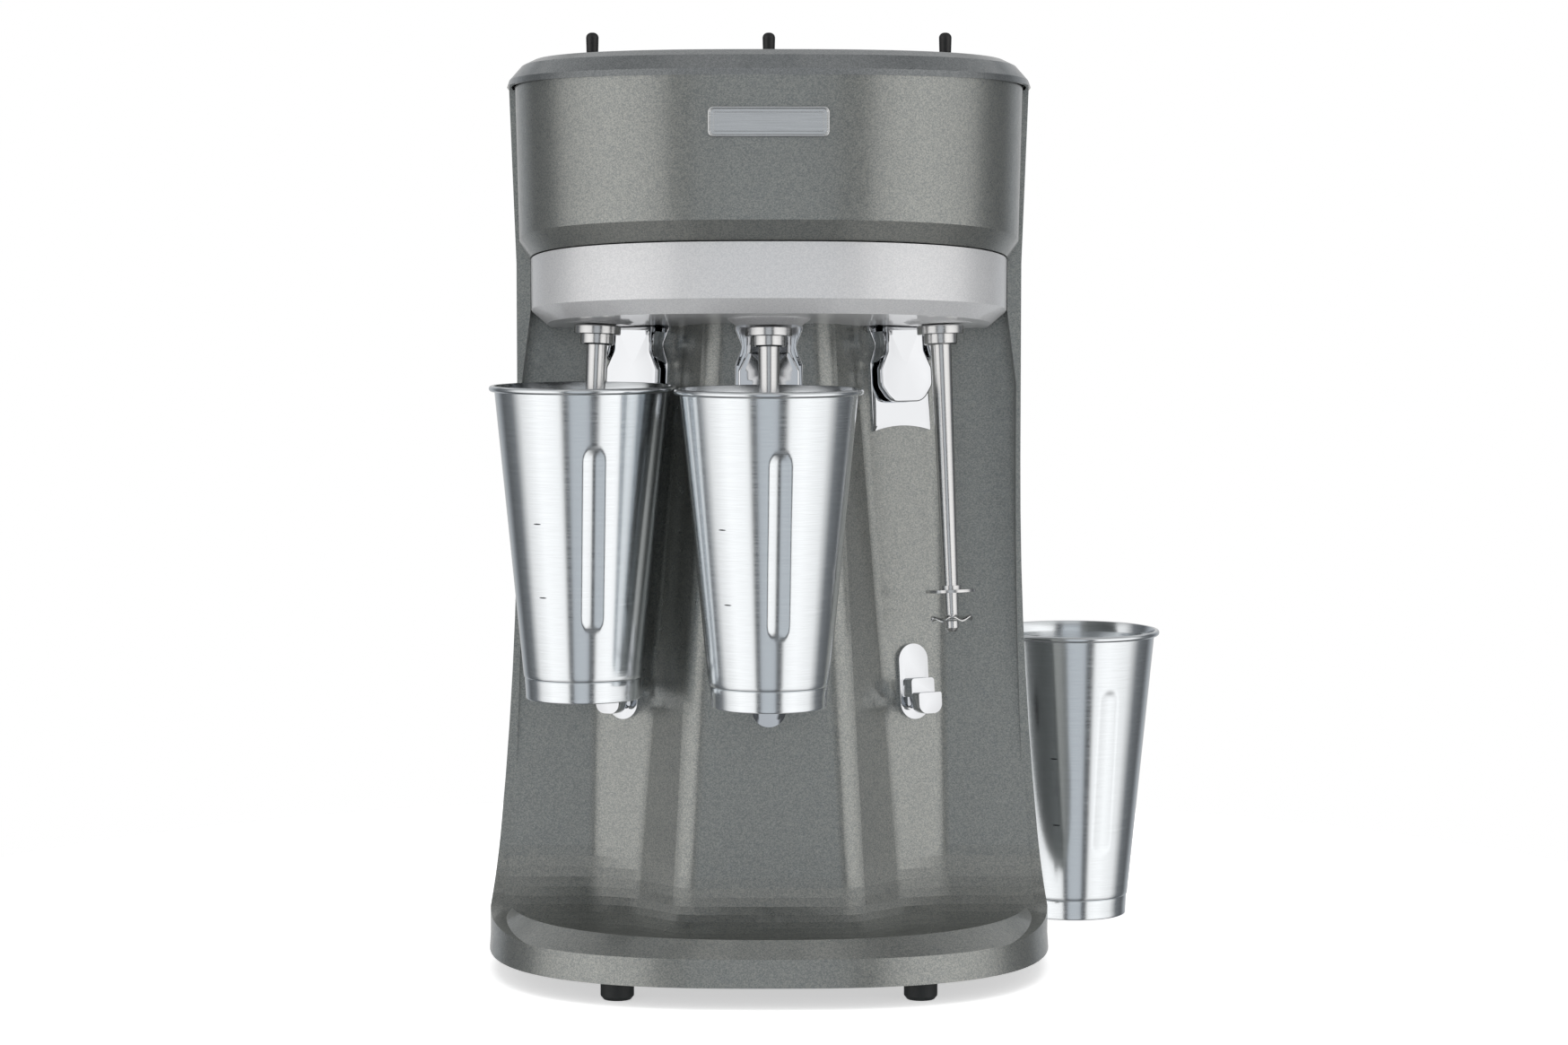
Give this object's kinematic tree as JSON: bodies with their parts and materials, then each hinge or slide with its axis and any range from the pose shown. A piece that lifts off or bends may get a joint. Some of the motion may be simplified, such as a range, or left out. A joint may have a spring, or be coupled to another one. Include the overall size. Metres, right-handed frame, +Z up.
{
  "type": "milkshake mixer",
  "caption": "Counter-top drink mixer with a tall splayed column, a rounded head over tilted agitator spindles, hooks for hung steel cups, and a loose cup behind it.",
  "frame": {"origin": "on the counter, at the centre of the plane of the feet, midway between the side walls", "axes": "+Z up, +X to the right seen from the front, -Y towards the front"},
  "size_m": [0.399, 0.3525, 0.5286],
  "materials": {
    "body_paint": "metallic grey enamel, satin",
    "cap_paint": "darker metallic grey enamel",
    "silver_paint": "silver metallic enamel",
    "plate_steel": "brushed",
    "cup_steel": "finely brushed",
    "spindle_steel": "turned",
    "chrome": "polished",
    "screw_steel": "plated",
    "motor_steel": "laminated",
    "aluminium": "cast",
    "dark_steel": "black sheet",
    "switch_metal": "dark plated",
    "black_plastic": "moulded",
    "rubber": "matt"
  },
  "bodies": {
    "root": {"body_casting": "body_paint", "bottom_cover": "dark_steel", "rubber_feet": "rubber", "foot_screws": "screw_steel", "rear_cover": "body_paint", "rear_cover_screws": "screw_steel", "cord_gland": "black_plastic", "head_housing": "body_paint", "head_cap": "cap_paint", "nameplate": "plate_steel", "motor_shroud": "silver_paint", "motor_deck": "dark_steel", "motor_bearings": "screw_steel", "paddle_pins": "screw_steel", "hook_screws": "screw_steel", "cup_switches": "black_plastic", "toggle_switch_bodies": "switch_metal", "left_motor_stator": "motor_steel", "left_motor_frame": "aluminium", "left_guide_bracket": "chrome", "left_cup_hook": "chrome", "centre_motor_stator": "motor_steel", "centre_motor_frame": "aluminium", "centre_guide_bracket": "chrome", "centre_cup_hook": "chrome", "right_motor_stator": "motor_steel", "right_motor_frame": "aluminium", "right_guide_bracket": "chrome", "right_cup_hook": "chrome"},
    "left_drive": {"left_spindle": "spindle_steel", "left_spindle_collar": "spindle_steel", "left_upper_agitator": "spindle_steel", "left_lower_agitator": "spindle_steel", "left_agitator_screw": "spindle_steel", "left_motor_rotor": "motor_steel", "left_motor_fan": "black_plastic"},
    "left_paddle": {"left_switch_paddle": "chrome"},
    "left_lever": {"left_toggle": "black_plastic"},
    "centre_drive": {"centre_spindle": "spindle_steel", "centre_spindle_collar": "spindle_steel", "centre_upper_agitator": "spindle_steel", "centre_lower_agitator": "spindle_steel", "centre_agitator_screw": "spindle_steel", "centre_motor_rotor": "motor_steel", "centre_motor_fan": "black_plastic"},
    "centre_paddle": {"centre_switch_paddle": "chrome"},
    "centre_lever": {"centre_toggle": "black_plastic"},
    "right_drive": {"right_spindle": "spindle_steel", "right_spindle_collar": "spindle_steel", "right_upper_agitator": "spindle_steel", "right_lower_agitator": "spindle_steel", "right_agitator_screw": "spindle_steel", "right_motor_rotor": "motor_steel", "right_motor_fan": "black_plastic"},
    "right_paddle": {"right_switch_paddle": "chrome"},
    "right_lever": {"right_toggle": "black_plastic"},
    "left_hung_cup": {"left_cup": "cup_steel"},
    "centre_hung_cup": {"centre_cup": "cup_steel"},
    "standing_cup": {"spare_cup": "cup_steel"}
  },
  "joints": [
    {"name": "left_spindle_spin", "type": "hinge", "parent": "root", "child": "left_drive", "pos_m": [-0.09615, 0.00617, 0.359], "axis": [0.0399, 0.072, 0.9966], "continuous": true},
    {"name": "centre_spindle_spin", "type": "hinge", "parent": "root", "child": "centre_drive", "pos_m": [0, -0.0338, 0.359], "axis": [0, 0.0823, 0.9966], "continuous": true},
    {"name": "right_spindle_spin", "type": "hinge", "parent": "root", "child": "right_drive", "pos_m": [0.09615, 0.00617, 0.359], "axis": [-0.0399, 0.072, 0.9966], "continuous": true},
    {"name": "left_paddle_swing", "type": "hinge", "parent": "root", "child": "left_paddle", "pos_m": [-0.07486, 0.04457, 0.37132], "axis": [0.8746, -0.4848, 0], "range_deg": [0, 3.6], "stiffness_Nm_per_rad": 0.4, "springref_deg": -5.73},
    {"name": "centre_paddle_swing", "type": "hinge", "parent": "root", "child": "centre_paddle", "pos_m": [0, 0.01011, 0.37132], "axis": [1, 0, 0], "range_deg": [0, 3.6], "stiffness_Nm_per_rad": 0.4, "springref_deg": -5.73},
    {"name": "right_paddle_swing", "type": "hinge", "parent": "root", "child": "right_paddle", "pos_m": [0.07486, 0.04457, 0.37132], "axis": [0.8746, 0.4848, 0], "range_deg": [0, 3.6], "stiffness_Nm_per_rad": 0.4, "springref_deg": -5.73},
    {"name": "left_toggle_rock", "type": "hinge", "parent": "root", "child": "left_lever", "pos_m": [-0.098, 0, 0.50656], "axis": [1, 0, 0], "range_deg": [-13, 13]},
    {"name": "centre_toggle_rock", "type": "hinge", "parent": "root", "child": "centre_lever", "pos_m": [0, 0, 0.50656], "axis": [1, 0, 0], "range_deg": [-13, 13]},
    {"name": "right_toggle_rock", "type": "hinge", "parent": "root", "child": "right_lever", "pos_m": [0.098, 0, 0.50656], "axis": [1, 0, 0], "range_deg": [-13, 13]},
    {"name": "left_cup_lift", "type": "slide", "parent": "root", "child": "left_hung_cup", "axis": [0, 0, 1], "range_m": [0, 0.012]},
    {"name": "centre_cup_lift", "type": "slide", "parent": "root", "child": "centre_hung_cup", "axis": [0, 0, 1], "range_m": [0, 0.012]},
    {"name": "spare_cup_lift", "type": "slide", "parent": "root", "child": "standing_cup", "axis": [0, 0, 1], "range_m": [0, 0.15]}
  ]
}
